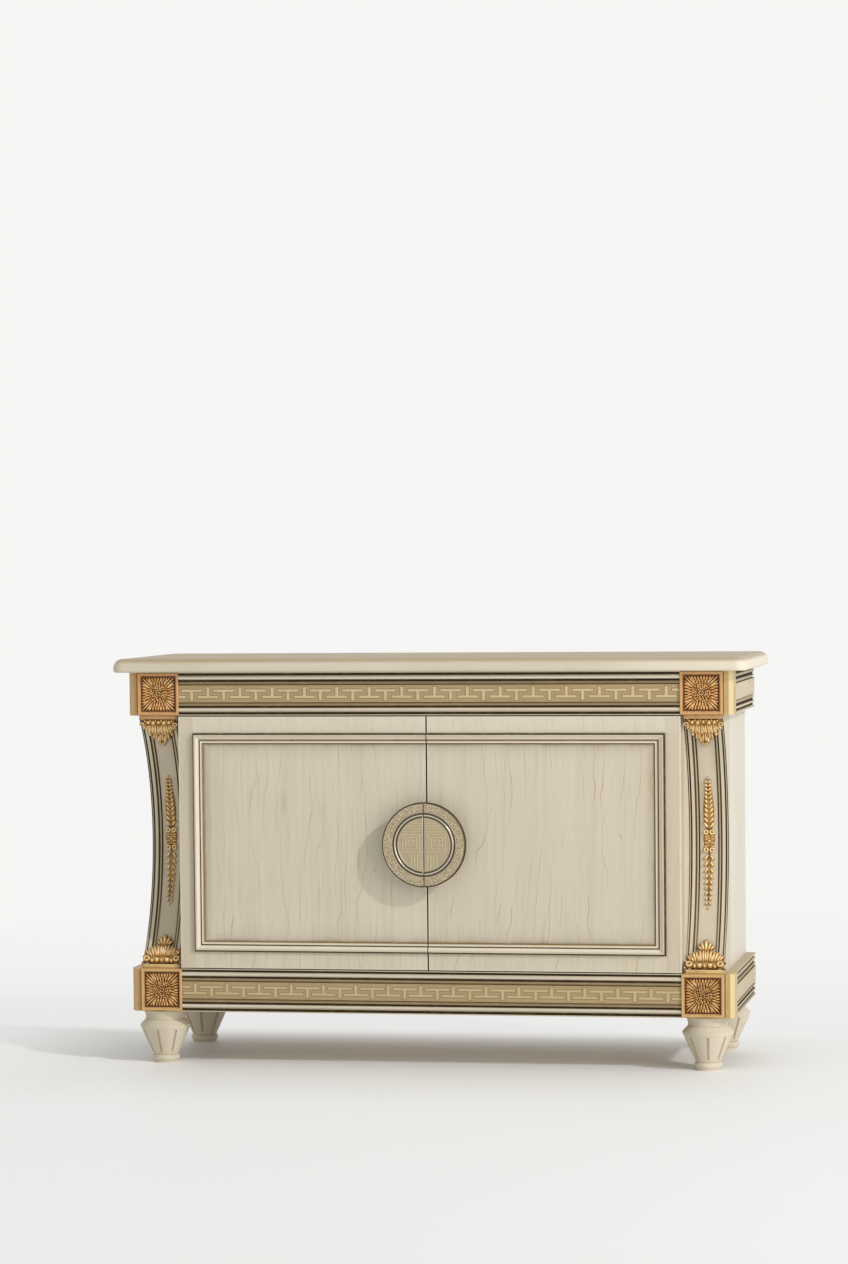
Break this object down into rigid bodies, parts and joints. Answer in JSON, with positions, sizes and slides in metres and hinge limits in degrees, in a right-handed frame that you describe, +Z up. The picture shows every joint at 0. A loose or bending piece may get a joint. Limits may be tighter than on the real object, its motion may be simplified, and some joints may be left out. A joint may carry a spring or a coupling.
{
  "type": "chiffonier",
  "caption": "Low chiffonier cabinet: two veneered doors with a split round pull, concave pilasters, gilded corner blocks, meander friezes and turned fluted feet.",
  "frame": {"origin": "on the floor, under the middle of the cabinet's box", "axes": "+X to the cabinet's right as seen from the front, +Y to the back (the doors face -Y), +Z up"},
  "size_m": [1.5, 0.539, 0.96],
  "materials": {
    "cream_paint": "cream lacquer with a brown glaze in the hollows",
    "veneer": "bleached figured veneer under satin lacquer",
    "frieze_inlay": "tan band with a pale meander line",
    "gilding": "carved and gilded, brown glaze in the hollows",
    "interior_board": "plain sealed board",
    "pull_metal": "cast, champagne plated, stippled rim",
    "ring_metal": "polished nickel",
    "pivot_brass": "turned",
    "fastener_steel": "zinc plated",
    "catch_plastic": "moulded, brown"
  },
  "bodies": {
    "cabinet": {"top_panel": "cream_paint", "upper_frieze_rail": "cream_paint", "upper_frieze_inlay": "frieze_inlay", "base_rail": "cream_paint", "base_inlay": "frieze_inlay", "left_upper_side_frieze": "cream_paint", "right_upper_side_frieze": "cream_paint", "left_base_side_rail": "cream_paint", "right_base_side_rail": "cream_paint", "base_back_rail": "interior_board", "sub_top": "interior_board", "bottom_panel": "interior_board", "back_panel": "interior_board", "shelf": "interior_board", "left_carcass_side": "interior_board", "right_carcass_side": "interior_board", "rear_foot_blocks": "interior_board", "left_side_panel": "veneer", "right_side_panel": "veneer", "left_pilaster": "cream_paint", "right_pilaster": "cream_paint", "shelf_pins": "fastener_steel", "foot_bolts": "fastener_steel", "back_panel_screws": "fastener_steel", "door_pivot_pins": "pivot_brass", "pivot_washers": "pivot_brass", "magnetic_catch": "catch_plastic", "upper_left_corner_block": "gilding", "upper_left_plaque": "gilding", "upper_left_acanthus": "gilding", "upper_right_corner_block": "gilding", "upper_right_plaque": "gilding", "upper_right_acanthus": "gilding", "lower_left_corner_block": "gilding", "lower_left_plaque": "gilding", "lower_left_acanthus": "gilding", "lower_right_corner_block": "gilding", "lower_right_plaque": "gilding", "lower_right_acanthus": "gilding", "left_wheat_ornament": "gilding", "front_left_foot": "cream_paint", "rear_left_foot": "cream_paint", "right_wheat_ornament": "gilding", "front_right_foot": "cream_paint", "rear_right_foot": "cream_paint"},
    "left_door": {"left_door_leaf": "veneer", "left_door_moulding": "cream_paint", "left_pull_disc": "pull_metal", "left_pull_ring": "ring_metal", "left_pull_screws": "fastener_steel", "left_door_bushes": "pivot_brass", "left_catch_plate": "fastener_steel"},
    "right_door": {"right_door_leaf": "veneer", "right_door_moulding": "cream_paint", "right_pull_disc": "pull_metal", "right_pull_ring": "ring_metal", "right_pull_screws": "fastener_steel", "right_door_bushes": "pivot_brass", "right_catch_plate": "fastener_steel"}
  },
  "joints": [
    {"name": "left_door_hinge", "type": "hinge", "parent": "cabinet", "child": "left_door", "pos_m": [-0.582, -0.2145, 0.527], "axis": [0, 0, -1], "range_deg": [0, 105]},
    {"name": "right_door_hinge", "type": "hinge", "parent": "cabinet", "child": "right_door", "pos_m": [0.582, -0.2145, 0.527], "axis": [0, 0, 1], "range_deg": [0, 105]}
  ]
}
